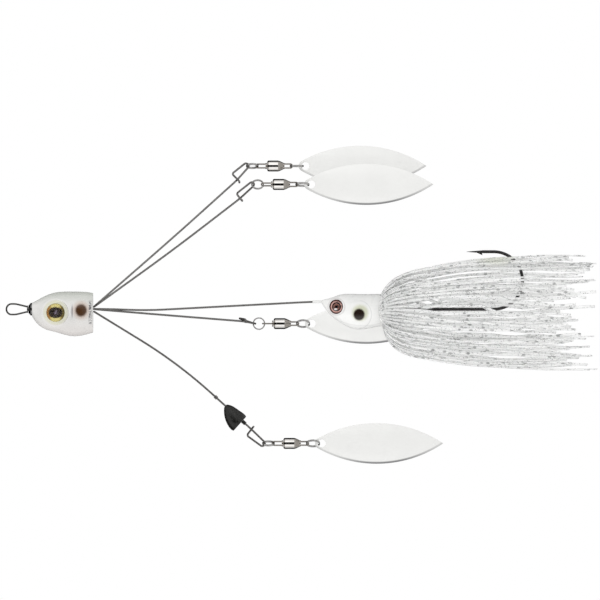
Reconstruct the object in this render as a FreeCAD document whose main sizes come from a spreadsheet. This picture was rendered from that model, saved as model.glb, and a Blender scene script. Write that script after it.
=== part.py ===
import FreeCAD, Part
import math
import os
import Sketcher

from FreeCAD import Placement, Rotation, Vector

# Multi-arm spinnerbait hanging from its line.  Millimetres, +Z up.
# The origin is the point where the line pulls on the inside of the line-tie loop.
# +X is the side that is up when the lure swims, -X is the keel side.
# Forward (towards the line) is +Z, the lure's left is -Y and its right is +Y.

UP = Vector(0, 0, 1)

# Heights and counts that one piece alone uses.
STUB_TOP = -16.0
JIG_EYE_TILT = 15.0
JIG_EYE_FLOOR = 2.75
HOOK_EYE_Z = -122.6
SLOT_HALF = 1.3
BALL_COUNT = 9

doc = FreeCAD.newDocument("spinnerbait")
sheet = doc.addObject("Spreadsheet::Sheet", "Sheet")
pieces = []

DIMENSIONS = [
    # line tie: a pear-shaped wire loop on the rotor of a swivel set in the nose
    ("tie_wire_rad", 0.31, "radius of the line-tie wire"),
    ("tie_loop_half", 1.9, "half width of the loop, wire centre"),
    ("tie_neck_half", 0.9, "half distance between the loop's legs at the swivel"),
    ("tie_loop_len", 7.1, "from the origin down to the swivel's rotor plate"),
    ("tie_plate_rad", 1.3, "radius of the rotor plate under the loop"),
    ("tie_stem_rad", 0.7, "radius of the rotor's stem"),
    ("tie_mouth_rad", 1.35, "radius of the swivel barrel at its mouth"),
    ("tie_barrel_rad", 2.25, "radius of the swivel barrel in the nose"),
    ("tie_barrel_end", 14.0, "depth of the swivel barrel's closed end"),
    # front head
    ("head_top", 8.9, "depth of the nose below the origin"),
    ("head_len", 21.8, "length of the front head"),
    ("head_half", 7.95, "half height of the front head"),
    ("head_wide", 5.8, "half width of the front head"),
    ("eye_x", -1.2, "height of the eye across the head"),
    ("eye_z", -17.35, "depth of the eye"),
    ("eye_rad", 3.3, "radius of the eye"),
    ("eye_ring_rad", 4.8, "radius of the flat ring around the eye"),
    ("eye_flat", 4.75, "half distance between the two eye flats"),
    ("eye_floor", 4.0, "half distance between the floors of the eye pockets"),
    # wires
    ("wire_rad", 0.35, "radius of the arm wire and of the centre wire"),
    ("hub_x", 0.1, "height of the centre wire where it leaves the head"),
    ("hub_rad", 0.98, "distance of each arm's root from the centre wire"),
    ("hub_z", -31.12, "height of the arm roots"),
    ("bore_gap", 0.02, "clearance around a wire that is moulded in"),
    ("clip_bend", 0.95, "bend radius of the clip's eye, wire centre"),
    ("clip_len", 6.4, "length of the clip from its crossing to its eye"),
    # rings, swivels
    ("ring_a_rad", 2.05, "mean radius of the upper split ring"),
    ("ring_b_rad", 2.3, "mean radius of the lower split ring"),
    ("coil_rad", 0.22, "radius of one of a split ring's two coils"),
    ("coil_half", 0.16, "half distance between a split ring's coils"),
    ("ring_seat", 0.76, "ring wire centre above the clip wire centre"),
    ("eye_seat", 0.67, "ring wire centre from the wire centre of a swivel eye"),
    ("loop_rad", 0.72, "bend radius of a swivel eye, wire centre"),
    ("loop_wire", 0.26, "wire radius of a swivel eye"),
    ("stem_rad", 0.5, "radius of the swivel rotor's shaft"),
    ("race_rad", 0.85, "radius of the rotor's bearing race"),
    ("barrel_rad", 1.98, "outer radius of the swivel barrel"),
    ("barrel_top", 6.65, "barrel top below the clip eye"),
    ("barrel_shoulder", 10.55, "start of the barrel's taper below the clip eye"),
    ("barrel_foot", 12.45, "foot of the barrel below the clip eye"),
    ("ball_rad", 0.36, "radius of a bearing ball"),
    ("ball_ring", 1.24, "radius of the circle of bearing balls"),
    ("loop_b_down", 15.62, "lower swivel eye's bottom below the clip eye"),
    ("fit_gap", 0.05, "running clearance inside a swivel"),
    # blades
    ("hole_down", 20.4, "blade hole's centre below the clip eye"),
    ("hole_rad", 1.4, "radius of the blade hole"),
    ("hole_nose", 2.45, "from the hole's centre to the blade's nose"),
    ("blade_len", 46.0, "length of a willow blade"),
    ("blade_half", 7.3, "half width of a willow blade"),
    ("blade_nose_rad", 2.0, "radius of the blade's rounded nose"),
    ("blade_thick", 0.5, "thickness of the blade"),
    ("cup_rad", 19.0, "radius of the blade's cup across its width"),
    ("cup_long", 150.0, "radius of the blade's cup along its length"),
    # keel weight
    ("weight_len", 8.1, "length of the keel weight"),
    ("weight_rad", 3.6, "largest radius of the keel weight"),
    ("weight_off", 1.3, "distance of the weight's middle from the wire"),
    # jig
    ("jig_top", 112.6, "depth of the jig head's tip below the origin"),
    ("jig_len", 23.8, "length of the jig head to its shoulder"),
    ("jig_half", 6.2, "half height of the jig head"),
    ("jig_wide", 5.3, "half width of the jig head"),
    ("jig_eye_x", 0.9, "height of the jig eye"),
    ("jig_eye_z", -118.7, "depth of the jig eye"),
    ("jig_eye_rad", 2.6, "radius of the jig eye"),
    ("neck_rad", 2.6, "radius of the skirt neck behind the jig head"),
    ("hook_rad", 0.55, "radius of the hook wire"),
    ("hook_x", 0.0, "height of the hook's shank"),
    ("hook_gap", 20.6, "distance between the hook's shank and its point"),
    ("hook_bend_z", -174.3, "height where the hook's bend begins"),
    ("hook_point_z", -164.6, "height of the hook's point"),
    ("skirt_x", -1.4, "height of the skirt's axis"),
    ("skirt_rad", 20.9, "radius of the hanging skirt"),
    ("skirt_top", -134.0, "height of the skirt's front"),
    ("skirt_end", -203.0, "height of the skirt's tips"),
    ("skirt_thick", 0.8, "thickness of the layer of strands"),
]

sheet.set("A1", "dimension")
sheet.set("B1", "value")
sheet.set("C1", "meaning")
for row, (alias, value, meaning) in enumerate(DIMENSIONS, start=2):
    sheet.set(f"A{row}", alias)
    sheet.set(f"B{row}", str(value))
    sheet.set(f"C{row}", meaning)
    sheet.setAlias(f"B{row}", alias)
ALIASES = {alias for alias, value, meaning in DIMENSIONS}
doc.recompute()


def size(alias):
    """Return the value of one driving dimension."""
    return float(sheet.get(alias))


def value_of(expression):
    """Value of a sum of aliases and numbers, such as: a + b - 1."""
    total = 0.0
    sign = 1.0
    for word in expression.split():
        if word in "+-":
            sign = -1.0 if word == "-" else 1.0
        else:
            total += sign * (size(word) if word in ALIASES else float(word))
            sign = 1.0
    return total


def bind(feature, **expressions):
    """Bind properties of a feature to expressions of the sheet's aliases."""
    for prop, expression in expressions.items():
        words = [f"Sheet.{word}" if word in ALIASES else word for word in expression.split()]
        feature.setExpression(prop, " ".join(words))
    return feature


def piece(feature, label, placement=None):
    """Register a feature as one finished piece of the lure."""
    feature.Label = label
    if placement is not None:
        feature.Placement = placement
    pieces.append(feature)
    return feature


def primitive(kind, placement=None, **expressions):
    """Part primitive whose sizes are bound to the sheet."""
    feature = doc.addObject(f"Part::{kind}", kind)
    bind(feature, **expressions)
    if placement is not None:
        feature.Placement = placement
    return feature


def shape_feature(name, shape):
    """Part::Feature for a bent wire, which no primitive fits."""
    feature = doc.addObject("Part::Feature", name)
    feature.Shape = shape
    return feature


def minus(base, tool):
    """Base without tool."""
    feature = doc.addObject("Part::Cut", "Cut")
    feature.Base = base
    feature.Tool = tool
    return feature


def union(*members):
    """Union of several features."""
    feature = doc.addObject("Part::MultiFuse", "Fusion")
    feature.Shapes = list(members)
    return feature


def overlap(base, tool):
    """Intersection of two features."""
    feature = doc.addObject("Part::Common", "Common")
    feature.Base = base
    feature.Tool = tool
    return feature


def at(x=0.0, y=0.0, z=0.0, direction=UP):
    """Placement at a point with local Z turned to a direction."""
    return Placement(Vector(x, y, z), Rotation(UP, direction))


def rounded_path(points, radii):
    """Wire through points in which each inner corner is a tangent arc."""
    edges = []
    start = points[0]
    for before, corner, after, radius in zip(points, points[1:], points[2:], radii):
        incoming = (corner - before).normalize()
        outgoing = (after - corner).normalize()
        half_turn = incoming.getAngle(outgoing) / 2
        arc_start = corner - incoming * radius * math.tan(half_turn)
        arc_end = corner + outgoing * radius * math.tan(half_turn)
        inward = (outgoing - incoming).normalize()
        middle = corner + inward * radius * (1 / math.cos(half_turn) - 1)
        if (arc_start - start).Length > 1e-4:
            edges.append(Part.LineSegment(start, arc_start).toShape())
        edges.append(Part.Arc(arc_start, middle, arc_end).toShape())
        start = arc_end
    edges.append(Part.LineSegment(start, points[-1]).toShape())
    return Part.Wire(edges)


def swept(points, radii, radius):
    """Round wire of one radius along a rounded path."""
    section = Part.Wire(Part.makeCircle(radius, points[0], points[1] - points[0]))
    return rounded_path(points, radii).makePipeShell([section], True, False)


def gentle(before, corner, after):
    """Large bend radius for a corner between two runs."""
    turn = (corner - before).getAngle(after - corner)
    return 0.45 * min((corner - before).Length, (after - corner).Length) / math.tan(turn / 2)


def turned(name, outline):
    """PartDesign body turned about Z from an outline of (radius, height) expressions."""
    body = doc.addObject("PartDesign::Body", name)
    sketch = body.newObject("Sketcher::SketchObject", f"{name}_section")
    plane = next(item for item in body.Origin.OriginFeatures if item.Role == "XZ_Plane")
    sketch.AttachmentSupport = [(plane, "")]
    sketch.MapMode = "FlatFace"
    corners = [Vector(value_of(across), value_of(along), 0) for across, along in outline]
    count = len(corners)
    for index, corner in enumerate(corners):
        sketch.addGeometry(Part.LineSegment(corner, corners[(index + 1) % count]))
    for index in range(count):
        following = (index + 1) % count
        sketch.addConstraint(Sketcher.Constraint("Coincident", index, 2, following, 1))
    for index, (across, along) in enumerate(outline):
        for kind, text in (("DistanceX", across), ("DistanceY", along)):
            constraint = Sketcher.Constraint(kind, -1, 1, index, 1, value_of(text))
            number = sketch.addConstraint(constraint)
            word = f"{kind}_{index}"
            sketch.renameConstraint(number, word)
            bind(sketch, **{f"Constraints.{word}": text})
    solid = body.newObject("PartDesign::Revolution", f"{name}_turned")
    solid.Profile = sketch
    solid.ReferenceAxis = (sketch, ["V_Axis"])
    solid.Angle = 360.0
    body.Tip = solid
    return body


# ---------------------------------------------------------------- line tie and its swivel

def line_tie():
    """Pear-shaped loop, rotor plate, stem and flange, in one piece."""
    half = size("tie_loop_half")
    neck = size("tie_neck_half")
    top = size("tie_wire_rad")
    foot = -size("tie_loop_len") - 0.1
    waist = 0.42 * foot
    points = [
        Vector(-neck, 0, foot),
        Vector(-half, 0, waist),
        Vector(-half, 0, top),
        Vector(half, 0, top),
        Vector(half, 0, waist),
        Vector(neck, 0, foot),
    ]
    corner = half * 0.97
    loop = shape_feature("tie_loop", swept(points, [6.0, corner, corner, 6.0], top))
    plate = primitive("Cylinder", at(z=foot - 0.25), Radius="tie_plate_rad")
    plate.Height = 0.4
    stem = primitive("Cylinder", at(z=-12.6), Radius="tie_stem_rad")
    stem.Height = 12.6 + foot
    flange = primitive("Cylinder", at(z=-12.6), Radius="tie_barrel_rad - 0.35")
    flange.Height = 1.0
    piece(union(loop, plate, stem, flange), "line_tie_eye")


def nose_swivel():
    """Barrel of the line-tie swivel, cone-shaped where it leaves the nose."""
    outline = [
        ("tie_stem_rad + fit_gap", "- tie_loop_len - 0.5"),
        ("tie_mouth_rad", "- tie_loop_len - 0.5"),
        ("tie_barrel_rad", "- head_top + 0.5"),
        ("tie_barrel_rad", "- tie_barrel_end"),
        ("0.3", "- tie_barrel_end"),
        ("0.3", "- 13.1"),
        ("tie_barrel_rad - 0.3", "- 13.1"),
        ("tie_barrel_rad - 0.3", "- 11.2"),
        ("tie_stem_rad + fit_gap", "- 11.2"),
    ]
    piece(turned("nose_swivel_barrel", outline), "line_tie_swivel_barrel")


# ---------------------------------------------------------------- eyes

def eye_direction(side, tilt):
    """Outward direction of an eye, tipped towards the nose by a tilt in degrees."""
    angle = math.radians(tilt)
    return Vector(0, side * math.cos(angle), math.sin(angle))


def pocket(centre, side, tilt, radius, distance):
    """Round tool that clears everything further out than a distance."""
    out = eye_direction(side, tilt)
    start = centre + out * distance
    tool = primitive("Cylinder", Placement(start, Rotation(UP, out)), Radius=radius)
    tool.Height = 6.0
    return tool


def eye_pieces(prefix, side, centre, tilt, radius, distance):
    """Iris disc on the pocket's floor and the clear dome over it."""
    out = eye_direction(side, tilt)
    turn = Rotation(UP, out)
    disc = primitive("Cylinder", Placement(centre + out * distance, turn), Radius=f"{radius} - 0.03")
    disc.Height = 0.35
    piece(disc, f"{prefix}_iris")
    seat = centre + out * (distance + 0.35)
    rim = primitive("Cylinder", Placement(seat, turn), Radius=f"{radius} - 0.03")
    rim.Height = 4.0
    ball_centre = seat - out * 0.8 * size(radius)
    ball = primitive("Sphere", Placement(ball_centre, turn), Radius=f"1.35 * {radius}")
    piece(overlap(rim, ball), f"{prefix}_dome")


# ---------------------------------------------------------------- heads

# Sections from nose to rear: depth, middle height and half height, half width,
# each as a share of the head's length, half height and half width.
FRONT_SECTIONS = [
    (0.0, -0.01, 0.31, 0.41),
    (0.037, -0.075, 0.415, 0.52),
    (0.16, -0.146, 0.672, 0.74),
    (0.388, -0.138, 0.893, 0.93),
    (0.615, -0.199, 0.996, 1.0),
    (0.842, -0.192, 0.977, 0.97),
    (1.0, -0.164, 0.89, 0.86),
]
JIG_SECTIONS = [
    (0.0, 0.435, 0.075, 0.085),
    (0.042, 0.339, 0.226, 0.21),
    (0.151, 0.141, 0.529, 0.51),
    (0.265, 0.056, 0.774, 0.73),
    (0.437, -0.093, 0.981, 0.95),
    (0.689, -0.125, 0.997, 1.0),
    (1.0, -0.121, 0.944, 0.92),
]


def lofted_head(name, sections, top, length, half, wide):
    """Head lofted through upright ellipses."""
    rings = []
    for depth, middle, tall, broad in sections:
        ring = primitive("Ellipse", MajorRadius=f"{tall} * {half}", MinorRadius=f"{broad} * {wide}")
        bind(ring, **{
            "Placement.Base.x": f"{middle} * {half}",
            "Placement.Base.z": f"- {top} - {depth} * {length}",
        })
        rings.append(ring)
    loft = doc.addObject("Part::Loft", name)
    loft.Sections = rings
    loft.Solid = True
    return loft


def front_head():
    """Fish-shaped head over the line-tie swivel and the roots of the wires."""
    blank = lofted_head(
        "front_blank", FRONT_SECTIONS, "head_top", "head_len", "head_half", "head_wide")
    centre = Vector(size("eye_x"), 0, size("eye_z"))
    barrel = primitive("Cylinder", at(z=-size("tie_barrel_end")), Radius="tie_barrel_rad")
    barrel.Height = 10.0
    tools = [barrel]
    for side in (-1, 1):
        tools.append(pocket(centre, side, 0, "eye_ring_rad", size("eye_flat")))
        tools.append(pocket(centre, side, 0, "eye_rad", size("eye_floor")))
    for x, y in hub_points() + [(size("hub_x"), 0.0)]:
        bore = primitive("Cylinder", at(x, y, -40.0), Radius="wire_rad + bore_gap")
        bore.Height = 40.0 + STUB_TOP
        tools.append(bore)
    piece(minus(blank, union(*tools)), "front_head")
    for side, word in ((-1, "left"), (1, "right")):
        eye_pieces(f"front_eye_{word}", side, centre, 0, "eye_rad", size("eye_floor"))


def jig():
    """Jig head, its eyes, the hook and the skirt with its collar."""
    blank = lofted_head("jig_blank", JIG_SECTIONS, "jig_top", "jig_len", "jig_half", "jig_wide")
    rear = -size("jig_top") - size("jig_len")
    neck = primitive("Cylinder", at(size("skirt_x"), 0, rear - 4.6), Radius="neck_rad")
    neck.Height = 5.0
    lip = primitive("Cone", at(size("skirt_x"), 0, rear - 4.6), Radius1="neck_rad + 0.1",
                    Radius2="neck_rad + 0.6")
    lip.Height = 0.8
    gap = size("bore_gap")
    tools = [
        shape_feature("wire_bore", centre_wire_shape(size("wire_rad") + gap)),
        shape_feature("hook_bore", hook_shape(size("hook_rad") + gap)),
    ]
    centre = Vector(size("jig_eye_x"), 0, size("jig_eye_z"))
    for side in (-1, 1):
        tools.append(pocket(centre, side, JIG_EYE_TILT, "jig_eye_rad", JIG_EYE_FLOOR))
    piece(minus(union(blank, neck, lip), union(*tools)), "jig_head")
    for side, word in ((-1, "left"), (1, "right")):
        eye_pieces(f"jig_eye_{word}", side, centre, JIG_EYE_TILT, "jig_eye_rad", JIG_EYE_FLOOR)
    piece(shape_feature("hook_wire", hook_shape(size("hook_rad"))), "hook")


def hook_shape(radius):
    """Hook with its eye inside the jig head, round bend, tapered point and barb."""
    x = size("hook_x")
    gap = size("hook_gap")
    far = x + gap
    bend = gap / 2
    bend_z = size("hook_bend_z")
    point_z = size("hook_point_z")
    eye_z = HOOK_EYE_Z
    eye_rad = 1.1
    taper_z = point_z - 6.0
    path = [
        Vector(x, 0, eye_z - eye_rad),
        Vector(x, 0, bend_z - bend),
        Vector(far, 0, bend_z - bend),
        Vector(far, 0, taper_z),
    ]
    wire = swept(path, [bend * 0.999, bend * 0.999], radius)
    eye = Part.makeTorus(eye_rad, radius, Vector(x, 0, eye_z), Vector(1, 0, 0))
    point = Part.makeCone(radius, 0.06, point_z - taper_z, Vector(far, 0, taper_z), UP)
    barb = Part.Face(Part.makePolygon([
        Vector(far - 0.25, -0.2, taper_z + 2.6),
        Vector(far - 0.25, -0.2, taper_z + 0.6),
        Vector(far - 1.25, -0.2, taper_z + 0.3),
        Vector(far - 0.25, -0.2, taper_z + 2.6),
    ])).extrude(Vector(0, 0.4, 0))
    return wire.fuse([eye, point, barb]).removeSplitter()


def centre_wire_shape(radius):
    """Wire from the front head to the hook's eye inside the jig head."""
    x = size("hub_x")
    tip = size("jig_half") * JIG_SECTIONS[0][1]
    points = [
        Vector(x, 0, STUB_TOP - 0.5),
        Vector(x, 0, -36.0),
        Vector(x - 0.55, 0, -50.0),
        Vector(tip, 0, -size("jig_top") + 3.0),
        Vector(tip + 0.2, 0, HOOK_EYE_Z),
        Vector(size("hook_x") - 1.6, 0, HOOK_EYE_Z),
    ]
    radii = [gentle(*points[0:3]), gentle(*points[1:4]), gentle(*points[2:5]), 1.0]
    return swept(points, radii, radius)


def centre_wire():
    """Centre wire and the painted sleeve where it meets the jig head's tip."""
    piece(shape_feature("centre_wire_sweep", centre_wire_shape(size("wire_rad"))), "centre_wire")
    tip = size("jig_half") * JIG_SECTIONS[0][1]
    sleeve = primitive("Cylinder", at(tip, 0, -size("jig_top") + 0.02), Radius="wire_rad + 0.17")
    sleeve.Height = 3.2
    bore = shape_feature("sleeve_bore", centre_wire_shape(size("wire_rad") + size("bore_gap")))
    piece(minus(sleeve, bore), "jig_nose_sleeve")


def skirt():
    """Skirt as one bell-shaped layer, slotted for the hook, and its rubber collar."""
    outline = [
        ("neck_rad + 1.2", "skirt_top - 3.4"),
        ("neck_rad + 4.5", "skirt_top - 3.1"),
        ("neck_rad + 4.5", "skirt_top - 0.6"),
        ("skirt_rad - 10.5", "skirt_top - 4.2"),
        ("skirt_rad - 5.6", "skirt_top - 10.5"),
        ("skirt_rad - 2.5", "skirt_top - 18"),
        ("skirt_rad - 0.7", "skirt_top - 28"),
        ("skirt_rad", "skirt_top - 44"),
        ("skirt_rad", "skirt_end"),
        ("skirt_rad - skirt_thick", "skirt_end"),
        ("skirt_rad - skirt_thick", "skirt_top - 44"),
        ("skirt_rad - 0.7 - skirt_thick", "skirt_top - 28.1"),
        ("skirt_rad - 2.5 - skirt_thick", "skirt_top - 18.3"),
        ("skirt_rad - 5.6 - skirt_thick", "skirt_top - 11"),
        ("skirt_rad - 10.5 - skirt_thick", "skirt_top - 4.8"),
        ("neck_rad + 1.2", "skirt_top - 4.2"),
    ]
    bell = turned("skirt_bell", outline)
    bell.Placement = at(size("skirt_x"))
    slot_floor = size("skirt_end") - 1.0
    slot = primitive("Box", at(size("skirt_rad") - 5.0, -SLOT_HALF, slot_floor))
    slot.Length = 8.0
    slot.Width = 2 * SLOT_HALF
    slot.Height = size("hook_bend_z") + 3.0 - slot_floor
    piece(minus(bell, slot), "skirt")
    band = [
        ("neck_rad + bore_gap", "skirt_top - 2.9"),
        ("neck_rad + 0.95", "skirt_top - 2.9"),
        ("neck_rad + 0.95", "skirt_top - 5.6"),
        ("neck_rad + bore_gap", "skirt_top - 5.6"),
    ]
    piece(turned("collar_band", band), "skirt_collar", at(size("skirt_x")))


# ---------------------------------------------------------------- arms

# Angles in degrees, lengths in millimetres.
ARM_COLUMNS = (
    "name", "azimuth", "near_slope", "far_slope", "reach", "height",
    "clip_azimuth", "clip_slope", "eye_azimuth", "upper_ring", "lower_ring")
ARMS = [
    ("upper_right", 24.0, 43.8, 44.8, 50.8, -82.2, 24.0, 51.0, 20.0, 20.0, 0.0),
    ("upper_left", -38.0, 42.2, 44.2, 50.15, -83.5, -10.0, 43.0, -24.0, -48.0, 12.0),
    ("right", 95.2, 43.0, 40.4, 48.4, -84.4, 99.4, 50.0, 90.0, 90.0, 32.0),
    ("keel", 180.0, 31.5, 42.0, 42.95, -87.4, 180.0, 44.0, 180.0, 160.0, 28.0),
]


def radial(azimuth):
    """Horizontal unit vector at an azimuth in degrees."""
    angle = math.radians(azimuth)
    return Vector(math.cos(angle), math.sin(angle), 0)


def sloping(azimuth, slope):
    """Unit vector that leaves straight down by a slope in degrees."""
    angle = math.radians(slope)
    return radial(azimuth) * math.sin(angle) - UP * math.cos(angle)


def hub_points():
    """Places around the centre wire where the arms leave the head."""
    places = []
    for name, azimuth, *rest in ARMS:
        offset = radial(azimuth) * size("hub_rad")
        places.append((size("hub_x") + offset.x, offset.y))
    return places


def meeting(start, run_in, end, run_out, outward):
    """Point where a run from start meets the run that ends at end, in one upright plane."""
    span = end - start
    slant = run_in.dot(outward) * run_out.z - run_in.z * run_out.dot(outward)
    share = (span.dot(outward) * run_out.z - span.z * run_out.dot(outward)) / slant
    return start + run_in * share


class ArmFrame:
    """Points and directions that one arm's pieces share."""

    def __init__(self, arm):
        value = dict(zip(ARM_COLUMNS, arm))
        self.name = value["name"]
        self.upper_ring = value["upper_ring"]
        self.lower_ring = value["lower_ring"]
        self.outward = radial(value["azimuth"])
        self.root = Vector(size("hub_x"), 0, size("hub_z")) + self.outward * size("hub_rad")
        self.crossing = self.outward * value["reach"] + UP * value["height"]
        self.run_out = sloping(value["azimuth"], value["far_slope"])
        run_in = sloping(value["azimuth"], value["near_slope"])
        self.middle = meeting(self.root, run_in, self.crossing, self.run_out, self.outward)
        self.forward = sloping(value["clip_azimuth"], value["clip_slope"])
        hang = radial(value["eye_azimuth"])
        self.aside = (hang - self.forward * hang.dot(self.forward)).normalize()
        self.normal = self.forward.cross(self.aside)
        turn = self.forward.getAngle(hang)
        bend = size("clip_bend")
        self.bend_start = self.crossing + self.forward * size("clip_len")
        self.eye = (self.bend_start + self.forward * bend * math.sin(turn)
                    + self.aside * bend * (1 - math.cos(turn)))

    def wire_points(self):
        """Corners and bend radii of the arm wire with its clip."""
        bend = size("clip_bend")
        corner = self.bend_start + self.forward * bend
        second = corner + self.aside * bend * 1.87
        back = (self.forward * -0.99 + self.aside * 0.139).normalize()
        lift = self.normal * 0.8
        third = second + back * (size("clip_len") + 0.6) + lift
        over = self.crossing + lift - self.aside * 1.0
        tail = over - lift * 1.5 - self.aside * 0.2
        points = [self.root, self.middle, self.crossing, corner, second, third, over, tail]
        kink = 0.25 * size("clip_len") / math.tan(self.run_out.getAngle(self.forward) / 2)
        radii = [gentle(*points[0:3]), kink, bend, bend, 0.8, 0.5]
        return points, radii

    def below(self, down, azimuth):
        """Placement on the vertical line below the clip's eye, turned to an azimuth."""
        return Placement(self.eye - UP * down, Rotation(UP, azimuth))


def arm_wire(frame):
    """Arm wire from its ball-shaped root to the tail of its clip."""
    points, radii = frame.wire_points()
    wire = swept(points, radii, size("wire_rad"))
    root = Part.makeSphere(size("wire_rad"), frame.root)
    piece(shape_feature("arm_sweep", wire.fuse(root)), f"{frame.name}_arm_wire")


def ring(label, radius, placement):
    """Split ring of two coils; its axis is the placement's X."""
    coils = []
    for side in (-1, 1):
        coil = primitive("Torus", Radius1=radius, Radius2="coil_rad")
        coil.Placement = Placement(
            Vector(side * size("coil_half"), 0, 0), Rotation(UP, Vector(1, 0, 0)))
        coils.append(coil)
    piece(union(*coils), label, placement)


def disc(radius, top, bottom):
    """Cylinder about Z between two heights."""
    cylinder = primitive("Cylinder", at(z=bottom), Radius=radius)
    cylinder.Height = top - bottom
    return cylinder


def wire_eye(apex, foot):
    """U-shaped wire eye in the XZ plane, from its apex to the feet of its legs."""
    half = size("loop_rad")
    points = [Vector(x, 0, z) for x, z in ((-half, foot), (-half, apex), (half, apex), (half, foot))]
    bend = half * 0.95
    return shape_feature("eye_wire", swept(points, [bend, bend], size("loop_wire")))


def swivel(frame):
    """Ball-bearing swivel: rotor, barrel, balls and the fixed lower eye."""
    top = -size("barrel_top")
    foot = -size("barrel_foot")
    apex = size("ring_seat") - 2 * size("ring_a_rad") + size("eye_seat")
    rotor = union(
        wire_eye(apex, top + 0.4),
        disc("loop_rad + loop_wire + 0.12", top + 0.6, top + 0.12),
        disc("stem_rad", top + 0.3, top - 1.9),
        disc("race_rad", top - 0.75, top - 1.6),
    )
    upright = frame.below(0.0, frame.upper_ring)
    piece(rotor, f"{frame.name}_swivel_rotor", upright)
    outline = [
        ("stem_rad + fit_gap", "- barrel_top"),
        ("barrel_rad - 0.5", "- barrel_top"),
        ("barrel_rad - 0.12", "- barrel_top - 0.18"),
        ("barrel_rad", "- barrel_top - 0.55"),
        ("barrel_rad", "- barrel_shoulder"),
        ("barrel_rad - 0.22", "- barrel_shoulder - 0.7"),
        ("barrel_rad - 0.8", "- barrel_foot"),
        ("loop_wire + 0.12", "- barrel_foot"),
        ("loop_wire + 0.12", "- barrel_top - 2.9"),
        ("barrel_rad - 0.3", "- barrel_top - 2.9"),
        ("barrel_rad - 0.3", "- barrel_top - 0.65"),
        ("stem_rad + fit_gap", "- barrel_top - 0.65"),
    ]
    piece(turned("swivel_shell", outline), f"{frame.name}_swivel_barrel", upright)
    balls = []
    for index in range(BALL_COUNT):
        ball = primitive("Sphere", Radius="ball_rad")
        place = radial(360.0 * index / BALL_COUNT) * size("ball_ring")
        ball.Placement = at(place.x, place.y, top - 1.1)
        balls.append(ball)
    group = doc.addObject("Part::Compound", "balls")
    group.Links = balls
    piece(group, f"{frame.name}_swivel_balls", upright)
    lower_eye = union(
        wire_eye(-size("loop_b_down"), foot - 0.2),
        disc("loop_rad + loop_wire + 0.12", foot - 0.02, foot - 0.4),
        disc("loop_wire + 0.1", top - 2.75, foot - 0.2),
        disc("loop_wire + 0.55", top - 2.5, top - 2.85),
    )
    piece(lower_eye, f"{frame.name}_swivel_eye", frame.below(0.0, frame.lower_ring))


def blade_face():
    """Willow-leaf outline in the XZ plane with its nose up; the hole's centre is the origin."""
    half = size("blade_half")
    nose = size("blade_nose_rad")
    length = size("blade_len")
    tip_part = 0.52 * length
    side = (tip_part**2 + half**2) / (2 * half)
    widest = size("hole_nose") - length + tip_part
    inset = side - half
    rise = math.sqrt((side - nose) ** 2 - inset**2)
    nose_centre = Vector(0, 0, widest + rise)
    tip = Vector(0, 0, widest - tip_part)
    touches = []
    for sign in (-1, 1):
        middle = Vector(-sign * inset, 0, widest)
        outward = (nose_centre - middle).normalize()
        touches.append(middle + outward * side)
    edges = [
        Part.Arc(tip, Vector(half, 0, widest), touches[1]).toShape(),
        Part.Arc(touches[1], nose_centre + UP * nose, touches[0]).toShape(),
        Part.Arc(touches[0], Vector(-half, 0, widest), tip).toShape(),
    ]
    return Part.Face(Part.Wire(edges)), widest


def blade(frame):
    """Cupped willow blade: a leaf-shaped piece of a curved sheet, with one hole."""
    face, widest = blade_face()
    outline = shape_feature("leaf", face)
    leaf = doc.addObject("Part::Extrusion", "leaf_prism")
    leaf.Base = outline
    leaf.Dir = Vector(0, 1, 0)
    leaf.LengthFwd = 5.0
    leaf.LengthRev = 4.0
    bulge = widest**2 / (2 * size("cup_long"))
    centre_y = size("cup_long") - bulge - size("blade_thick") / 2
    layers = []
    for depth in ("", " - blade_thick"):
        layer = primitive(
            "Torus", Radius1="cup_long - cup_rad", Radius2=f"cup_rad{depth}")
        layer.Placement = Placement(Vector(0, centre_y, widest), Rotation(UP, Vector(1, 0, 0)))
        layers.append(layer)
    hole = primitive("Cylinder", at(y=-3.0, direction=Vector(0, 1, 0)), Radius="hole_rad")
    hole.Height = 6.0
    sheet_leaf = minus(overlap(leaf, layers[0]), layers[1])
    place = Placement(frame.eye - UP * size("hole_down"), Rotation())
    piece(minus(sheet_leaf, hole), f"{frame.name}_blade", place)


# Height above the base, radius and offset from the wire, as shares of the weight's sizes.
WEIGHT_SECTIONS = [
    (1.0, 0.2, 0.0),
    (0.87, 0.46, 0.25),
    (0.62, 0.76, 0.66),
    (0.36, 0.93, 0.93),
    (0.1, 1.0, 1.0),
    (0.0, 0.93, 1.0),
]


def keel_weight(frame):
    """Bell-shaped weight on the keel arm, with its bead and its wire stop."""
    back = frame.run_out * -1.0
    outward = (frame.outward - back * frame.outward.dot(back)).normalize()
    place = Placement(frame.crossing + back * 4.3, Rotation(outward, Vector(), back, "ZXY"))
    rings = []
    for height, radius, offset in WEIGHT_SECTIONS:
        circle = primitive("Circle", Radius=f"{radius} * weight_rad")
        bind(circle, **{
            "Placement.Base.x": f"{offset} * weight_off",
            "Placement.Base.z": f"{height} * weight_len",
        })
        rings.append(circle)
    bell = doc.addObject("Part::Loft", "weight_bell")
    bell.Sections = rings
    bell.Solid = True
    bore = primitive("Cylinder", at(z=-1.0), Radius="wire_rad + bore_gap")
    bore.Height = 12.0
    piece(minus(bell, bore), "keel_weight", place)
    length = size("weight_len")
    for label, start, end, extra in (
        ("keel_weight_tube", -1.5, -0.02, 0.3),
        ("keel_weight_stop", length + 4.0, length + 5.2, 0.28),
    ):
        sleeve = primitive("Cylinder", at(z=start), Radius=f"wire_rad + {extra}")
        sleeve.Height = end - start
        hole = primitive("Cylinder", at(z=start - 1.0), Radius="wire_rad + bore_gap")
        hole.Height = end - start + 2.0
        piece(minus(sleeve, hole), label, place)


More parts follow.
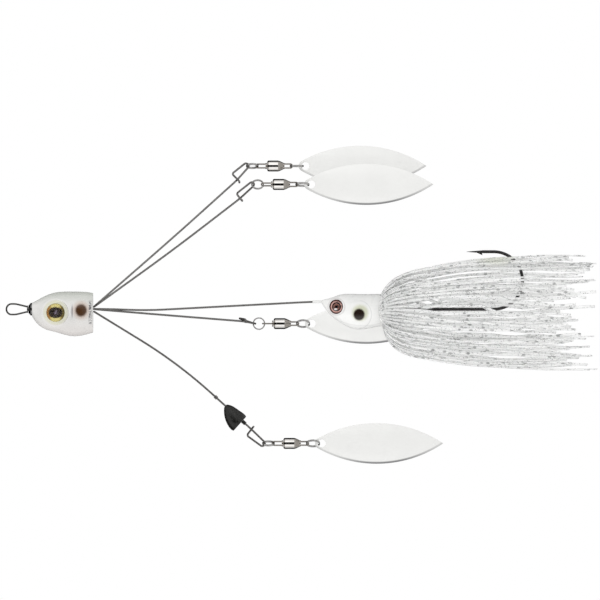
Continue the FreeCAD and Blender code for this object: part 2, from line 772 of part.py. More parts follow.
def arm_roots():
    """Straight legs of the four arm wires inside the front head."""
    legs = []
    for x, y in hub_points():
        leg = primitive("Cylinder", at(x, y, -size("head_top") - size("head_len") - 0.02),
                        Radius="wire_rad")
        leg.Height = size("head_top") + size("head_len") + 0.02 + STUB_TOP - 0.5
        legs.append(leg)
    group = doc.addObject("Part::Compound", "legs")
    group.Links = legs
    piece(group, "arm_roots")


# ---------------------------------------------------------------- assembly

line_tie()
nose_swivel()
front_head()
arm_roots()
centre_wire()
jig()
skirt()
for arm in ARMS:
    frame = ArmFrame(arm)
    arm_wire(frame)
    upper_down = size("ring_a_rad") - size("ring_seat")
    ring(f"{frame.name}_upper_ring", "ring_a_rad", frame.below(upper_down, frame.upper_ring))
    swivel(frame)
    lower_down = size("loop_b_down") - size("eye_seat") + size("ring_b_rad")
    ring(f"{frame.name}_lower_ring", "ring_b_rad", frame.below(lower_down, frame.lower_ring))
    blade(frame)
keel_weight(frame)
doc.recompute()

for feature in doc.Objects:
    if "Invalid" in feature.State or "Error" in feature.State:
        raise RuntimeError(f"{feature.Label} did not recompute: {feature.State}")
os.makedirs("parts", exist_ok=True)
for feature in pieces:
    if feature.Shape.isNull() or not feature.Shape.isValid():
        raise RuntimeError(f"{feature.Label} has no valid shape")
    feature.Shape.exportStep(f"parts/{feature.Label}.step")
    print(feature.Label, round(feature.Shape.Volume, 2), len(feature.Shape.Solids))
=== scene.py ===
import math
import random

import bmesh
import bpy
from mathutils import Matrix, Vector


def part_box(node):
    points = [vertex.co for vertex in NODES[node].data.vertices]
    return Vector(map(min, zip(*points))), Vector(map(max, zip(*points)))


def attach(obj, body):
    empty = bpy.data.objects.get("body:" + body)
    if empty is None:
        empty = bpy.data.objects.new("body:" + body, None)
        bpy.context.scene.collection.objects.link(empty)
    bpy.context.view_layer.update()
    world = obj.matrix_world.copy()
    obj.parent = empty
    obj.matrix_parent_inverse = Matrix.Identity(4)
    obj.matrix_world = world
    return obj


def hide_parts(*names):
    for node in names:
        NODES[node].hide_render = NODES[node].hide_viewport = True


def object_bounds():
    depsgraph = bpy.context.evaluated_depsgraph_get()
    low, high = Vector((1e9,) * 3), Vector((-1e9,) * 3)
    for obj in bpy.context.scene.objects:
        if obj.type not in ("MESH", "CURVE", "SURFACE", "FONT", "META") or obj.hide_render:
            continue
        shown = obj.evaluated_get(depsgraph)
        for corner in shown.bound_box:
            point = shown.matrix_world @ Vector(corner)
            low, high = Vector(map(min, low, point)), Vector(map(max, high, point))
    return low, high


# A multi-arm spinnerbait that hangs from its line, seen as in a product photo.  Metres;
# +Z is toward the line, +X is up when the lure swims, and the camera looks along +Y.

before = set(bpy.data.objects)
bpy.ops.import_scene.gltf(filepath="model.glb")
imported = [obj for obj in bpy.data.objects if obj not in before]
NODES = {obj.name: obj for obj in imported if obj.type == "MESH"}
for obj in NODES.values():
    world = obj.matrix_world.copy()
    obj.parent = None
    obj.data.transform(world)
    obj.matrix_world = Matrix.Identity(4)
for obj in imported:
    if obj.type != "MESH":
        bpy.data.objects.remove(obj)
cad_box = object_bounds()

MM = 0.001
ARMS = ("upper_right", "upper_left", "right", "keel")


def centre_of(node):
    """Middle of a CAD node's box."""
    low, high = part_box(node)
    return (low + high) / 2


def beside(point, up, forward):
    """A point moved up (+X) and forward (+Z) by metres, for looks that are laid out side on."""
    return Vector((point.x + up, 0, point.z + forward))


# ---------------------------------------------------------------- material nodes

class Look:
    """One procedural material, laid out on the object's own coordinates in metres."""

    def __init__(self, name, **values):
        self.material = bpy.data.materials.new(name)
        self.material.use_nodes = True
        self.tree = self.material.node_tree
        self.shader = self.tree.nodes["Principled BSDF"]
        self.place = self.tree.nodes.new("ShaderNodeTexCoord").outputs["Object"]
        for word, value in values.items():
            self.shader.inputs[word.replace("_", " ")].default_value = value

    def wire(self, value, socket):
        """Link an output, or set a plain value."""
        if isinstance(value, bpy.types.NodeSocket):
            self.tree.links.new(value, socket)
        else:
            socket.default_value = value

    def math(self, operation, first, second=0.0):
        """Result of one arithmetic step."""
        node = self.tree.nodes.new("ShaderNodeMath")
        node.operation = operation
        self.wire(first, node.inputs[0])
        self.wire(second, node.inputs[1])
        return node.outputs[0]

    def stretched(self, stretch):
        """Coordinates scaled differently along X, Y and Z."""
        node = self.tree.nodes.new("ShaderNodeMapping")
        node.inputs["Scale"].default_value = stretch
        self.wire(self.place, node.inputs["Vector"])
        return node.outputs[0]

    def noise(self, feature, detail=3.0, stretch=(1, 1, 1)):
        """Noise whose features are about a given size in millimetres."""
        node = self.tree.nodes.new("ShaderNodeTexNoise")
        self.wire(self.stretched(stretch), node.inputs["Vector"])
        node.inputs["Scale"].default_value = 1 / (feature * MM)
        node.inputs["Detail"].default_value = detail
        return node.outputs["Fac"]

    def flakes(self, spacing, stretch=(1, 1, 1)):
        """Distance to the nearest of scattered points, in cells."""
        node = self.tree.nodes.new("ShaderNodeTexVoronoi")
        self.wire(self.stretched(stretch), node.inputs["Vector"])
        node.inputs["Scale"].default_value = 1 / (spacing * MM)
        return node.outputs["Distance"]

    def fade(self, value, start, end, low=0.0, high=1.0):
        """Smooth step from low to high as a value goes from start to end."""
        node = self.tree.nodes.new("ShaderNodeMapRange")
        node.interpolation_type = "SMOOTHSTEP"
        self.wire(value, node.inputs["Value"])
        for word, number in (("From Min", start), ("From Max", end), ("To Min", low), ("To Max", high)):
            node.inputs[word].default_value = number
        return node.outputs["Result"]

    def mix(self, factor, first, second):
        """Blend of two colours, by a factor from 0 to 1."""
        node = self.tree.nodes.new("ShaderNodeMix")
        node.data_type = "RGBA"
        self.wire(factor, node.inputs[0])
        for value, socket in ((first, node.inputs[6]), (second, node.inputs[7])):
            self.wire(value if isinstance(value, bpy.types.NodeSocket) else (*value, 1.0), socket)
        return node.outputs[2]

    def axis(self, letter):
        """One coordinate, in metres."""
        node = self.tree.nodes.new("ShaderNodeSeparateXYZ")
        self.wire(self.place, node.inputs[0])
        return node.outputs[letter]

    def facing(self, letter):
        """How squarely the surface faces along one of the object's axes, from 0 to 1."""
        place = self.tree.nodes.new("ShaderNodeTexCoord")
        node = self.tree.nodes.new("ShaderNodeSeparateXYZ")
        self.wire(place.outputs["Normal"], node.inputs[0])
        return self.math("ABSOLUTE", node.outputs[letter])

    def reach(self, centre, across, along):
        """Distance from a centre, seen side on, in half sizes (mm) across X and along Z."""
        over = self.math("DIVIDE", self.math("SUBTRACT", self.axis("X"), centre.x), across * MM)
        down = self.math("DIVIDE", self.math("SUBTRACT", self.axis("Z"), centre.z), along * MM)
        square = self.math("ADD", self.math("MULTIPLY", over, over),
                           self.math("MULTIPLY", down, down))
        return self.math("SQRT", square)

    def band(self, value, middle, half, soft):
        """1 within half of the middle, fading to 0 over the soft width."""
        away = self.math("ABSOLUTE", self.math("SUBTRACT", value, middle))
        return self.fade(away, half, half + soft, 1.0, 0.0)

    def bump(self, height, depth, strength=1.0):
        """Raise the surface by a height map, to a depth in millimetres."""
        node = self.tree.nodes.new("ShaderNodeBump")
        node.inputs["Strength"].default_value = strength
        node.inputs["Distance"].default_value = depth * MM
        self.wire(height, node.inputs["Height"])
        self.wire(node.outputs[0], self.shader.inputs["Normal"])

    def tint(self, base, amount, colour, strength=1.0):
        """Lay a colour over the base where the amount is high."""
        if strength != 1.0:
            amount = self.math("MULTIPLY", amount, strength)
        return self.mix(amount, base, colour)

    def finish(self, colour, roughness):
        """Link the colour and the roughness, and return the material."""
        if not isinstance(colour, bpy.types.NodeSocket):
            colour = (*colour, 1.0)
        self.wire(colour, self.shader.inputs["Base Color"])
        self.wire(roughness, self.shader.inputs["Roughness"])
        return self.material


def dress(material, *names):
    """Give CAD nodes a material through their slots."""
    for name in names:
        node = NODES[name]
        if not node.material_slots:
            node.data.materials.append(material)
        for slot in node.material_slots:
            slot.material = material


def metal(name, dark, light, roughness, grain=(1, 1, 1), depth=0.004, ends=None):
    """Bare or plated metal: uneven tone, fine grain, faint handling marks and tinted ends."""
    look = Look(name, Metallic=1.0)
    tone = look.noise(3.0, 4.0)
    grains = look.noise(0.16, 3.0, grain)
    marks = look.fade(look.noise(0.9, 5.0), 0.5, 0.72)
    colour = look.mix(tone, dark, light)
    if ends:
        colour = look.mix(look.fade(look.facing("Z"), 0.08, 0.35), colour, ends)
    look.bump(grains, depth, 0.5)
    rough = look.math("ADD", look.math("MULTIPLY", marks, 0.14), roughness)
    return look.finish(colour, rough)


def paint(name, colour, shade, roughness):
    """White lure paint over metal: slight clouding, orange peel and a clear coat."""
    look = Look(name, Coat_Weight=0.25, Coat_Roughness=0.12, Specular_IOR_Level=0.35)
    cloud = look.noise(7.0, 3.0)
    base = look.mix(look.fade(cloud, 0.35, 0.7), colour, shade)
    look.bump(look.noise(0.7, 2.0), 0.012, 0.35)
    rough = look.fade(look.noise(1.6, 4.0), 0.3, 0.7, roughness, roughness + 0.1)
    return look, base, rough


# ---------------------------------------------------------------- heads and eyes

FRONT_SOCKET = 3.3        # radius of the front eye's socket, in millimetres
# Marks on the heads are placed up and forward from the eye, in metres.
FRONT_GILL = (0.0005, -0.00595)
FRONT_SPOT = (0.0008, -0.00915)
SPOT_BROWN = (0.060, 0.022, 0.004)


def front_head_look():
    """Pearl head: green tinted crown, pink belly, eye glow, dark gill line, spot and rear specks."""
    look, base, rough = paint("pearl_paint", (0.67, 0.663, 0.648), (0.61, 0.605, 0.59), 0.22)
    low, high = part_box("front_head")
    eye = centre_of("front_eye_left_iris")
    crown = look.fade(look.axis("X"), high.x - 0.006, high.x)
    belly = look.fade(look.axis("X"), low.x + 0.008, low.x)
    base = look.tint(base, crown, (0.455, 0.48, 0.43), 0.7)
    base = look.tint(base, belly, (0.755, 0.70, 0.675), 0.5)
    far = look.reach(eye, FRONT_SOCKET, FRONT_SOCKET)
    base = look.tint(base, look.band(far, 1.08, 0.08, 0.34), (0.62, 0.62, 0.38), 0.45)
    base = look.tint(base, look.band(far, 1.46, 0.02, 0.1), (0.80, 0.78, 0.78), 0.3)
    gill = look.reach(beside(eye, *FRONT_GILL), 2.5, 0.34)
    base = look.tint(base, look.fade(gill, 1.3, 0.4, 0.0, 0.8), (0.22, 0.22, 0.24))
    spray = look.noise(0.35, 3.0)
    spot = look.reach(beside(eye, *FRONT_SPOT), 2.6, 2.4)
    spot = look.math("ADD", spot, look.math("MULTIPLY", spray, 0.16))
    base = look.tint(base, look.fade(spot, 1.7, 0.95, 0.0, 0.45), (0.40, 0.24, 0.15))
    base = look.tint(base, look.fade(spot, 1.14, 0.72), SPOT_BROWN)
    specks = look.fade(look.noise(0.42, 4.0, (1.0, 1.0, 0.6)), 0.42, 0.51)
    rear_edge = look.band(look.axis("Z"), low.z + 0.00095, 0.00036, 0.0003)
    middle = look.band(look.axis("X"), eye.x, 0.0032, 0.0016)
    specks = look.math("MULTIPLY", look.math("MULTIPLY", specks, rear_edge), middle)
    base = look.tint(base, specks, (0.06, 0.06, 0.07), 0.85)
    dress(look.finish(base, rough), "front_head")


JIG_SPOT = (-0.0028, -0.0081)
SPOT_NEAR_BLACK = (0.012, 0.004, 0.001)


def jig_head_look():
    """White jig head: dark sprayed spot with a yellow-green rim, eye socket, cheek and gill arcs."""
    look, base, rough = paint("jig_paint", (0.73, 0.73, 0.72), (0.675, 0.68, 0.67), 0.24)
    eye = centre_of("jig_eye_left_iris")
    low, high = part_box("jig_head")
    belly = look.fade(look.axis("X"), low.x + 0.013, low.x + 0.004)
    base = look.tint(base, belly, (0.88, 0.88, 0.865))
    spot_at = beside(eye, *JIG_SPOT)
    spray = look.noise(0.3, 3.0)
    spot = look.reach(spot_at, 2.35, 2.25)
    spot = look.math("ADD", spot, look.math("MULTIPLY", spray, 0.12))
    rim = look.reach(beside(spot_at, 0.0006, -0.0004), 3.2, 3.2)
    base = look.tint(base, look.fade(rim, 1.15, 0.62, 0, 0.6), (0.42, 0.44, 0.22))
    base = look.tint(base, look.fade(spot, 1.12, 0.78), SPOT_NEAR_BLACK)
    gill = look.band(look.reach(spot_at, 5.0, 4.4), 1.0, 0.012, 0.045)
    rear = look.fade(look.axis("Z"), spot_at.z + 0.001, spot_at.z - 0.002)
    base = look.tint(base, look.math("MULTIPLY", gill, rear), (0.42, 0.43, 0.43), 0.32)
    socket = look.band(look.reach(eye, 2.6, 2.6), 1.14, 0.03, 0.14)
    base = look.tint(base, socket, (0.55, 0.52, 0.52), 0.5)
    cheek_at = Vector((high.x - 0.0018, 0, eye.z - 0.0095))
    cheek = look.band(look.reach(cheek_at, 9.6, 14.5), 1.0, 0.006, 0.02)
    base = look.tint(base, cheek, (0.5, 0.5, 0.5), 0.22)
    dress(look.finish(base, rough), "jig_head", "jig_nose_sleeve")


GOLD_IRIS = 3.25          # radii of the irises, in millimetres
MAROON_IRIS = 2.56


def gold_iris_look():
    """Front irises: gold foil with bright crescents round a ragged dark pupil."""
    eye = centre_of("front_eye_left_iris")
    look = Look("gold_foil", Metallic=0.08, Coat_Weight=0.3)
    far = look.reach(eye, GOLD_IRIS, GOLD_IRIS)
    fibres = look.noise(0.3, 3.0)
    ragged = look.math("ADD", look.reach(eye, 2.05, 2.6),
                       look.math("MULTIPLY", look.math("SUBTRACT", fibres, 0.5), 0.4))
    colour = look.mix(fibres, (0.32, 0.19, 0.03), (0.52, 0.35, 0.07))
    across = look.math("ABSOLUTE", look.math("SUBTRACT", look.axis("X"), eye.x))
    along = look.math("ABSOLUTE", look.math("SUBTRACT", look.axis("Z"), eye.z))
    crescent = look.math("MULTIPLY", look.fade(across, 0.0014, 0.0020),
                         look.fade(along, 0.0026, 0.0012))
    colour = look.tint(colour, crescent, (0.98, 0.86, 0.32))
    nose = look.fade(look.axis("Z"), eye.z + 0.0012, eye.z + 0.003)
    colour = look.tint(colour, nose, (0.62, 0.25, 0.05), 0.7)
    rear = look.fade(look.axis("Z"), eye.z - 0.001, eye.z - 0.003)
    colour = look.tint(colour, rear, (0.13, 0.12, 0.03), 0.75)
    colour = look.tint(colour, look.fade(ragged, 1.1, 0.84), (0.030, 0.018, 0.008))
    glint = look.math("MULTIPLY", look.fade(far, 0.36, 0.05), look.fade(fibres, 0.42, 0.6))
    colour = look.tint(colour, glint, (0.52, 0.44, 0.60), 0.85)
    look.bump(fibres, 0.02, 0.4)
    dress(look.finish(colour, 0.28), "front_eye_left_iris", "front_eye_right_iris")


def maroon_iris_look():
    """Jig irises: maroon foil with two pink rings, a dark pupil and a pale glint."""
    eye = centre_of("jig_eye_left_iris")
    look = Look("maroon_foil", Metallic=0.05, Coat_Weight=0.3)
    far = look.reach(eye, MAROON_IRIS, MAROON_IRIS)
    fibres = look.noise(0.25, 3.0)
    colour = look.mix(fibres, (0.055, 0.009, 0.007), (0.11, 0.022, 0.016))
    for middle, half, pink in ((0.72, 0.05, (0.82, 0.48, 0.42)), (0.36, 0.10, (0.30, 0.13, 0.10))):
        colour = look.tint(colour, look.band(far, middle, half, 0.06), pink)
    colour = look.tint(colour, look.band(far, 0.54, 0.05, 0.05), (0.012, 0.004, 0.004))
    colour = look.tint(colour, look.fade(far, 0.27, 0.17), (0.012, 0.005, 0.008))
    glint = look.reach(beside(eye, -0.0009, 0.0003), 0.45, 0.75)
    colour = look.tint(colour, look.fade(glint, 1.0, 0.6), (0.95, 0.90, 0.88))
    look.bump(fibres, 0.015, 0.4)
    dress(look.finish(colour, 0.26), "jig_eye_left_iris", "jig_eye_right_iris")


def dome_look():
    """Clear epoxy dome, mostly see-through."""
    look = Look("clear_epoxy", Coat_Weight=1.0, Coat_Roughness=0.02, Alpha=0.13)
    look.bump(look.noise(1.8, 2.0), 0.01, 0.2)
    material = look.finish((0.05, 0.05, 0.05), look.fade(look.noise(0.8), 0.3, 0.7, 0.03, 0.08))
    dress(material, *(f"{head}_eye_{side}_dome" for head in ("front", "jig")
                      for side in ("left", "right")))


# ---------------------------------------------------------------- metals, blades and weight

OUTER_BLADE_WHITE = ((0.785, 0.785, 0.77), (0.77, 0.77, 0.755))
# The right blade has the same white paint as the others, made lighter here as painted light to offset
# the shadow the jig head casts on it.
RIGHT_BLADE_PAINTED_LIGHT_WHITE = ((0.85, 0.85, 0.835), (0.83, 0.83, 0.815))
BLADE_WIDEST = 0.52       # share of the blade's length from its tip to its widest place
BLADE_HOLE = 1.4          # radius of the blade's hole, in millimetres
BLADE_HOLE_DOWN = 2.45    # from the blade's top to the hole's centre, in millimetres


def blade_look():
    """Gloss white blades: painted shade along the lower rim, grey cut edge, orange peel and chips at
    the hole.
    """
    for arm in ARMS:
        name = f"{arm}_blade"
        low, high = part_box(name)
        # Painted light: the right blade gets a lighter copy of the white, to offset the jig head's
        # shadow.
        white = RIGHT_BLADE_PAINTED_LIGHT_WHITE if arm == "right" else OUTER_BLADE_WHITE
        look, base, rough = paint(f"{name}_paint", *white, 0.3)
        half = (high.x - low.x) / 2
        tip = BLADE_WIDEST * (high.z - low.z)
        bow = (tip**2 + half**2) / (2 * half)    # radius of the arc that bounds the blade
        centre = Vector((low.x + bow, 0, low.z + tip))
        edge = look.reach(centre, bow / MM, bow / MM)
        # Painted shade: a dark band along the lower rim, strongest near mid-length, where the cupped
        # blade turns away from the light.
        rim = look.fade(edge, 1 - 0.95 * MM / bow, 1 - 0.4 * MM / bow)
        belly = look.band(look.axis("Z"), centre.z - 0.003, 0.004, 0.018)
        belly = look.math("ADD", look.math("MULTIPLY", belly, 0.6), 0.3)
        base = look.tint(base, look.math("MULTIPLY", rim, belly), (0.13, 0.13, 0.135))
        cut_edge = look.fade(look.facing("Y"), 0.6, 0.25, 0.0, 0.85)
        base = look.tint(base, cut_edge, (0.30, 0.30, 0.305))
        chips = look.fade(look.noise(0.5, 4.0), 0.60, 0.68)
        hole_at = Vector(((low.x + high.x) / 2, 0, high.z - BLADE_HOLE_DOWN * MM))
        hole = look.reach(hole_at, BLADE_HOLE, BLADE_HOLE)
        worn = look.math("MULTIPLY", chips, look.fade(hole, 1.35, 1.02))
        base = look.tint(base, worn, (0.40, 0.39, 0.37), 0.7)
        dress(look.finish(base, rough), name)


def plain_looks():
    """Wires, rings, swivels, hook, weight and collar."""
    wire = metal("stainless_wire", (0.125, 0.121, 0.117), (0.235, 0.228, 0.22), 0.26, (1, 1, 0.15))
    dress(wire, "arm_roots", "centre_wire", "keel_weight_stop",
          *(f"{arm}_arm_wire" for arm in ARMS))
    dress(metal("line_tie_steel", (0.045, 0.045, 0.044), (0.15, 0.147, 0.14), 0.14), "line_tie_eye")
    dress(metal("dark_chrome", (0.10, 0.10, 0.10), (0.26, 0.26, 0.26), 0.08, depth=0.002),
          "line_tie_swivel_barrel")
    dress(metal("swivel_chrome", (0.50, 0.485, 0.46), (0.78, 0.76, 0.74), 0.04, depth=0.001,
                ends=(0.30, 0.28, 0.255)),
          *(f"{arm}_swivel_barrel" for arm in ARMS))
    dress(metal("swivel_wire", (0.15, 0.135, 0.12), (0.42, 0.39, 0.355), 0.06, depth=0.002),
          *(f"{arm}_swivel_{part}" for arm in ARMS for part in ("rotor", "eye", "balls")))
    ring = metal("ring_steel", (0.30, 0.295, 0.29), (0.52, 0.51, 0.50), 0.12)
    dress(ring, *(f"{arm}_{level}_ring" for arm in ARMS for level in ("upper", "lower")))
    nickel = metal("black_nickel", (0.030, 0.029, 0.031), (0.075, 0.072, 0.072), 0.17)
    dress(nickel, "hook")
    look = Look("black_paint", Coat_Weight=0.12, Coat_Roughness=0.15, Specular_IOR_Level=0.25)
    speck = look.noise(0.45, 4.0)
    colour = look.mix(look.fade(speck, 0.45, 0.7), (0.006, 0.006, 0.005), (0.024, 0.024, 0.022))
    look.bump(speck, 0.03, 0.5)
    dress(look.finish(colour, look.fade(speck, 0.3, 0.7, 0.3, 0.48)),
          "keel_weight", "keel_weight_tube")
    look = Look("collar_rubber")
    grain = look.noise(0.3, 3.0)
    look.bump(grain, 0.02, 0.4)
    dress(look.finish(look.mix(grain, (0.62, 0.63, 0.61), (0.74, 0.75, 0.73)), 0.55),
          "skirt_collar")


# ---------------------------------------------------------------- skirt

# Lengths are in millimetres.  Each point of the line is a radius from the skirt's axis and a
# depth below its front.
STRAND_LINE = (
    (3.7, 4.6), (4.6, 1.2), (5.5, -1.2), (6.9, -0.9), (9.7, 0.8), (13.2, 4.3), (15.9, 9.7),
    (17.5, 16.5), (19.0, 23.5), (20.1, 32.0), (20.7, 43.0), (21.0, 55.0), (21.2, 70.0),
)
COLLAR_RADIUS = 3.7
STRAND_SIDES = 8
STRAND_STEPS = 54
STRAND_THICK = 0.42
STRAND_WIDTHS = (0.84, 1.08)
STRAND_TWIST = 0.9        # most that a strand turns on itself along its length, in radians
TIP_DEPTHS = (60.0, 73.5)
TIP_SCATTER = 4.0
FRONT_SHARE = 0.45        # share of a strand that the front lip's slant fades out over
GATHER_DEPTH = 30         # depth at which a strand has reached its own clump
FREE_DEPTH, FREE_RUN = 14, 56    # a strand sways from this depth on, fully after the run
CUT_DEPTH, LINE_DEPTH = 40, 70   # past the first, the line is scaled to the strand's length
HOOK_CLEAR = 1.45         # half width of the parting that the bend and point stand in
SHANK_BELOW = 21.15       # from the hook's top down to the shank's centre
SHANK_CLEAR = 1.1         # half width of the near side's parting over the shank
PART_FROM, PART_OPENS = 15.5, 3     # depth where that parting starts, and its run-in
PART_TO, PART_CLOSES = 40.5, 5      # depth where it ends, and its run-out
CLUMP_PITCH, CLUMP_RADIUS = 1.05, 20.5    # strands of a clump are this far apart at the radius
SKIRT_SEED = 41
# Name, number of clumps, and lowest and highest share of the outline's radius.
SKIRT_LAYERS = (
    ("skirt_outer_strands", 21, 0.88, 1.0),
    ("skirt_middle_strands", 6, 0.62, 0.84),
    ("skirt_inner_strands", 4, 0.30, 0.56),
)


def along_line(share, reach_share):
    """Radius and depth at a share of the strand line, smoothed through its points."""
    spot = share * (len(STRAND_LINE) - 1)
    index = min(int(spot), len(STRAND_LINE) - 2)
    part = spot - index
    knots = [STRAND_LINE[max(0, min(len(STRAND_LINE) - 1, index + step))]
             for step in (-1, 0, 1, 2)]
    result = []
    for axis in (0, 1):
        a, b, c, d = (knot[axis] for knot in knots)
        result.append(0.5 * (2 * b + (c - a) * part + (2 * a - 5 * b + 4 * c - d) * part**2
                             + (3 * b - a - 3 * c + d) * part**3))
    radius, depth = result
    return COLLAR_RADIUS + (radius - COLLAR_RADIUS) * reach_share, depth


def strand_path(rng, root, free_azimuth, reach_share, length, shank):
    """Centre points of one hanging strand, in millimetres about the skirt's axis and front.

    It leaves the collar at the root angle and gathers toward the free angle as it falls.
    It keeps clear of the hook's bend, and on the near side of the shank too.
    """
    sway = rng.uniform(-1, 1)
    ripple = rng.uniform(0, 2 * math.pi)
    lift = rng.gauss(0, 0.8)
    points = []
    shank_side = 0.0
    for step in range(STRAND_STEPS + 1):
        share = step / STRAND_STEPS
        radius, depth = along_line(share, reach_share)
        gather = min(1.0, max(0.0, depth / GATHER_DEPTH))
        gather *= gather * (3 - 2 * gather)
        azimuth = root + (free_azimuth - root) * gather
        front = max(0.0, 1 - share / FRONT_SHARE)
        depth += 1.2 * math.cos(azimuth) ** 2 * front
        depth += 2.2 * max(0.0, -math.cos(azimuth)) * front
        radius += 1.0 * max(0.0, math.cos(azimuth)) * front
        free = max(0.0, (depth - FREE_DEPTH) / FREE_RUN)
        radius += lift * free + 0.45 * math.sin(ripple + depth * 0.13) * free
        waver = (0.7 * math.sin(ripple * 2 + depth * 0.12)
                 + 0.3 * math.sin(ripple * 5 + depth * 0.31))
        swing = (sway * 2.6 * free**1.6 + waver * free) / radius
        if depth > CUT_DEPTH:
            depth = CUT_DEPTH + ((depth - CUT_DEPTH) * (length - CUT_DEPTH)
                                 / (LINE_DEPTH - CUT_DEPTH))
        angle = azimuth + swing
        across = radius * math.sin(angle)
        if math.cos(angle) > 0 and abs(across) < HOOK_CLEAR:
            push = min(1.0, free * 3.0)
            side = math.copysign(1.0, across if abs(across) > 1e-6 else sway)
            across += (side * HOOK_CLEAR - across) * push
        along = radius * math.cos(angle)
        off = along - shank
        push = (min(1.0, max(0.0, (depth - PART_FROM) / PART_OPENS))
                * min(1.0, max(0.0, (PART_TO - depth) / PART_CLOSES)))
        if across < 0 and push > 0:
            shank_side = shank_side or math.copysign(1.0, off)
            along += (shank_side * max(SHANK_CLEAR, shank_side * off) - off) * push
        points.append(Vector((along, across, -depth)))
    return points


def add_strand(mesh, points, width, twist, origin):
    """Flat strand with rounded edges along a path, its flat side facing outward."""
    rings = []
    for index, point in enumerate(points):
        ahead = points[min(index + 1, len(points) - 1)]
        behind = points[max(index - 1, 0)]
        run = (ahead - behind).normalized()
        out = Vector((point.x, point.y, 0)).normalized()
        side = run.cross(out).normalized()
        face = side.cross(run).normalized()
        angle = twist * index / len(points)
        wide = side * math.cos(angle) + face * math.sin(angle)
        deep = face * math.cos(angle) - side * math.sin(angle)
        ring = []
        for corner in range(STRAND_SIDES):
            turn = 2 * math.pi * (corner + 0.5) / STRAND_SIDES
            over, through = (math.copysign(abs(part) ** 0.6, part)
                             for part in (math.cos(turn), math.sin(turn)))
            offset = wide * over * width / 2 + deep * through * STRAND_THICK / 2
            ring.append(mesh.verts.new(origin + (point + offset) * MM))
        rings.append(ring)
    for first, second in zip(rings, rings[1:]):
        for corner in range(STRAND_SIDES):
            after = (corner + 1) % STRAND_SIDES
            mesh.faces.new((first[corner], first[after], second[after], second[corner]))
    mesh.faces.new(list(reversed(rings[0])))
    mesh.faces.new(rings[-1])


def strand_look():
    """Milky silicone: scattered dark flakes and a yellow-green cast by the hook's point."""
    look = Look("flaked_silicone", Specular_IOR_Level=0.4, Transmission_Weight=0.5, IOR=1.12)
    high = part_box("skirt")[1]
    cloud = look.noise(3.2, 3.0, (1, 1, 0.35))
    base = look.mix(look.fade(cloud, 0.35, 0.68), (1.0, 1.0, 0.995), (0.96, 0.965, 0.96))
    front = look.fade(look.axis("Z"), high.z - 0.014, high.z - 0.002, 0.0, 0.05)
    base = look.tint(base, front, (0.42, 0.43, 0.42))
    hook_low, hook_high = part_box("hook")
    cast = look.reach(Vector((hook_high.x - 0.0025, 0, hook_low.z + 0.0105)), 3.4, 9.0)
    base = look.tint(base, look.fade(cast, 1.1, 0.2, 0.0, 0.38), (0.62, 0.65, 0.47))
    fine = look.fade(look.flakes(0.56, (1, 1, 0.75)), 0.36, 0.22)
    coarse = look.fade(look.flakes(1.6, (1, 1, 0.6)), 0.32, 0.22)
    patch = look.fade(look.noise(4.5, 2.0), 0.34, 0.6, 0.35, 1.0)
    dark = look.math("MULTIPLY", look.math("MAXIMUM", fine, coarse), patch)
    base = look.tint(base, dark, (0.14, 0.145, 0.145), 0.72)
    look.bump(look.noise(0.5, 3.0, (1, 1, 0.3)), 0.03, 0.4)
    return look.finish(base, look.fade(cloud, 0.3, 0.7, 0.3, 0.45))


def skirt():
    """Layers of silicone strands in loose clumps, parted round the hook."""
    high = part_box("skirt")[1]
    middle = centre_of("skirt_collar")
    origin = Vector((middle.x, middle.y, high.z))
    shank = (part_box("hook")[1].x - SHANK_BELOW * MM - origin.x) / MM
    material = strand_look()
    rng = random.Random(SKIRT_SEED)
    for name, clumps, reach_low, reach_high in SKIRT_LAYERS:
        mesh = bmesh.new()
        strands = []
        for clump in range(clumps):
            centre = 2 * math.pi * (clump + rng.uniform(-0.2, 0.2)) / clumps
            members = rng.randint(2, 4)
            tip = rng.uniform(*TIP_DEPTHS)
            for member in range(members):
                spread = (member - (members - 1) / 2) * CLUMP_PITCH / CLUMP_RADIUS
                spread /= max(reach_low, 0.5)
                strands.append((centre + spread + rng.uniform(-0.01, 0.01), tip))
        for index, (free_azimuth, tip) in enumerate(strands):
            root = 2 * math.pi * (index + 0.5) / len(strands)
            root += 2 * math.pi * round((free_azimuth - root) / (2 * math.pi))
            reach_share = rng.uniform(reach_low, reach_high)
            length = tip + rng.uniform(-TIP_SCATTER, TIP_SCATTER)
            path = strand_path(rng, root, free_azimuth, reach_share, length, shank)
            width = rng.uniform(*STRAND_WIDTHS)
            twist = rng.uniform(-STRAND_TWIST, STRAND_TWIST)
            add_strand(mesh, path, width, twist, origin)
        data = bpy.data.meshes.new(name)
        mesh.to_mesh(data)
        mesh.free()
        for polygon in data.polygons:
            polygon.use_smooth = True
        data.materials.append(material)
        piece = bpy.data.objects.new(name, data)
        bpy.context.scene.collection.objects.link(piece)
        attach(piece, "rig")
        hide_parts("skirt")


# ---------------------------------------------------------------- studio

FLOOR_SIZE, FLOOR_DROP = 2.4, 0.055
FLAG_HEIGHT = 3.0
# Name, offset from the lure's middle, and width or size, in metres; lights end with watts.
FLAGS = (
    ("flag_front", Vector((0.0, -1.4, 0.0)), 1.35),
    ("flag_back", Vector((0.0, 0.16, 0.0)), 3.0),
)
LIGHTS = (
    ("key", Vector((0.75, -0.85, 0.25)), 0.9, 1.4),
    ("fill", Vector((-0.7, -0.95, -0.2)), 1.0, 1.4),
)
WORLD_LIGHT, WORLD_SEEN = 1.08, 1.0
CAMERA_DISTANCE = 6.0
CAMERA_SEES = 0.215       # width of the picture at the lure
CAMERA_AIM = (0.0555, 0.1055)    # below the lure's highest X and Z
SENSOR_WIDTH = 36.0


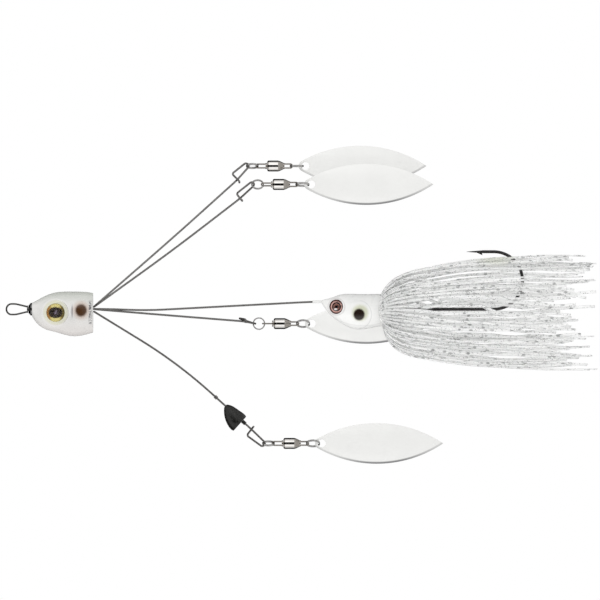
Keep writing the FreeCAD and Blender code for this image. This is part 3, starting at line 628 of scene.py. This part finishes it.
def panel(name, centre, facing, width, height):
    """Flat square-cornered panel that faces a point."""
    mesh = bmesh.new()
    half_x, half_y = width / 2, height / 2
    corners = [mesh.verts.new((x, y, 0)) for x, y in
               ((-half_x, -half_y), (half_x, -half_y), (half_x, half_y), (-half_x, half_y))]
    mesh.faces.new(corners)
    data = bpy.data.meshes.new(name)
    mesh.to_mesh(data)
    mesh.free()
    item = bpy.data.objects.new(name, data)
    item.location = centre
    item.rotation_mode = "QUATERNION"
    item.rotation_quaternion = (facing - centre).to_track_quat("Z", "Y")
    bpy.context.scene.collection.objects.link(item)
    return item


def studio():
    """Pale floor, white surround, soft lights and two black flags for the metal to mirror."""
    low, high = cad_box
    target = (low + high) / 2
    floor = panel("floor", Vector((target.x, target.y, low.z - FLOOR_DROP)), target,
                  FLOOR_SIZE, FLOOR_SIZE)
    look = Look("floor_paper")
    fibre = look.noise(1.5, 4.0)
    look.bump(fibre, 0.05, 0.2)
    floor.data.materials.append(
        look.finish(look.mix(fibre, (0.84, 0.84, 0.84), (0.88, 0.88, 0.88)), 0.85))
    black = bpy.data.materials.new("flag_black")
    black.use_nodes = True
    shader = black.node_tree.nodes["Principled BSDF"]
    shader.inputs["Base Color"].default_value = (0, 0, 0, 1)
    shader.inputs["Specular IOR Level"].default_value = 0.0
    for name, offset, width in FLAGS:
        flag = panel(name, target + offset, target, width, FLAG_HEIGHT)
        flag.data.materials.append(black)
        flag.visible_camera = False
        flag.visible_diffuse = False
        flag.visible_transmission = False
        flag.visible_shadow = False
    for name, offset, size, power in LIGHTS:
        light = bpy.data.lights.new(name, "AREA")
        light.size = size
        light.energy = power
        lamp = bpy.data.objects.new(name, light)
        lamp.location = target + offset
        lamp.rotation_mode = "QUATERNION"
        lamp.rotation_quaternion = (-offset).to_track_quat("-Z", "Y")
        bpy.context.scene.collection.objects.link(lamp)
    world = bpy.data.worlds.new("surround")
    world.use_nodes = True
    bpy.context.scene.world = world
    tree = world.node_tree
    path = tree.nodes.new("ShaderNodeLightPath")
    level = tree.nodes.new("ShaderNodeMapRange")
    level.inputs["To Min"].default_value = WORLD_LIGHT
    level.inputs["To Max"].default_value = WORLD_SEEN
    tree.links.new(path.outputs["Is Camera Ray"], level.inputs["Value"])
    background = tree.nodes["Background"]
    background.inputs["Color"].default_value = (1, 1, 1, 1)
    tree.links.new(level.outputs["Result"], background.inputs["Strength"])
    bpy.context.scene.view_settings.view_transform = "Standard"


def camera():
    """Long lens that looks along +Y, rolled so that the lure lies with its nose to the left."""
    high = cad_box[1]
    down, back = CAMERA_AIM
    data = bpy.data.cameras.new("camera")
    data.sensor_width = SENSOR_WIDTH
    data.lens = SENSOR_WIDTH * CAMERA_DISTANCE / CAMERA_SEES
    data.clip_end = 5 * CAMERA_DISTANCE
    item = bpy.data.objects.new("camera", data)
    item.location = Vector((high.x - down, -CAMERA_DISTANCE, high.z - back))
    item.rotation_mode = "QUATERNION"
    item.rotation_quaternion = Matrix(((0, 1, 0), (0, 0, -1), (-1, 0, 0))).to_quaternion()
    bpy.context.scene.collection.objects.link(item)
    bpy.context.scene.camera = item


front_head_look()
jig_head_look()
gold_iris_look()
maroon_iris_look()
dome_look()
blade_look()
plain_looks()
skirt()
studio()
camera()
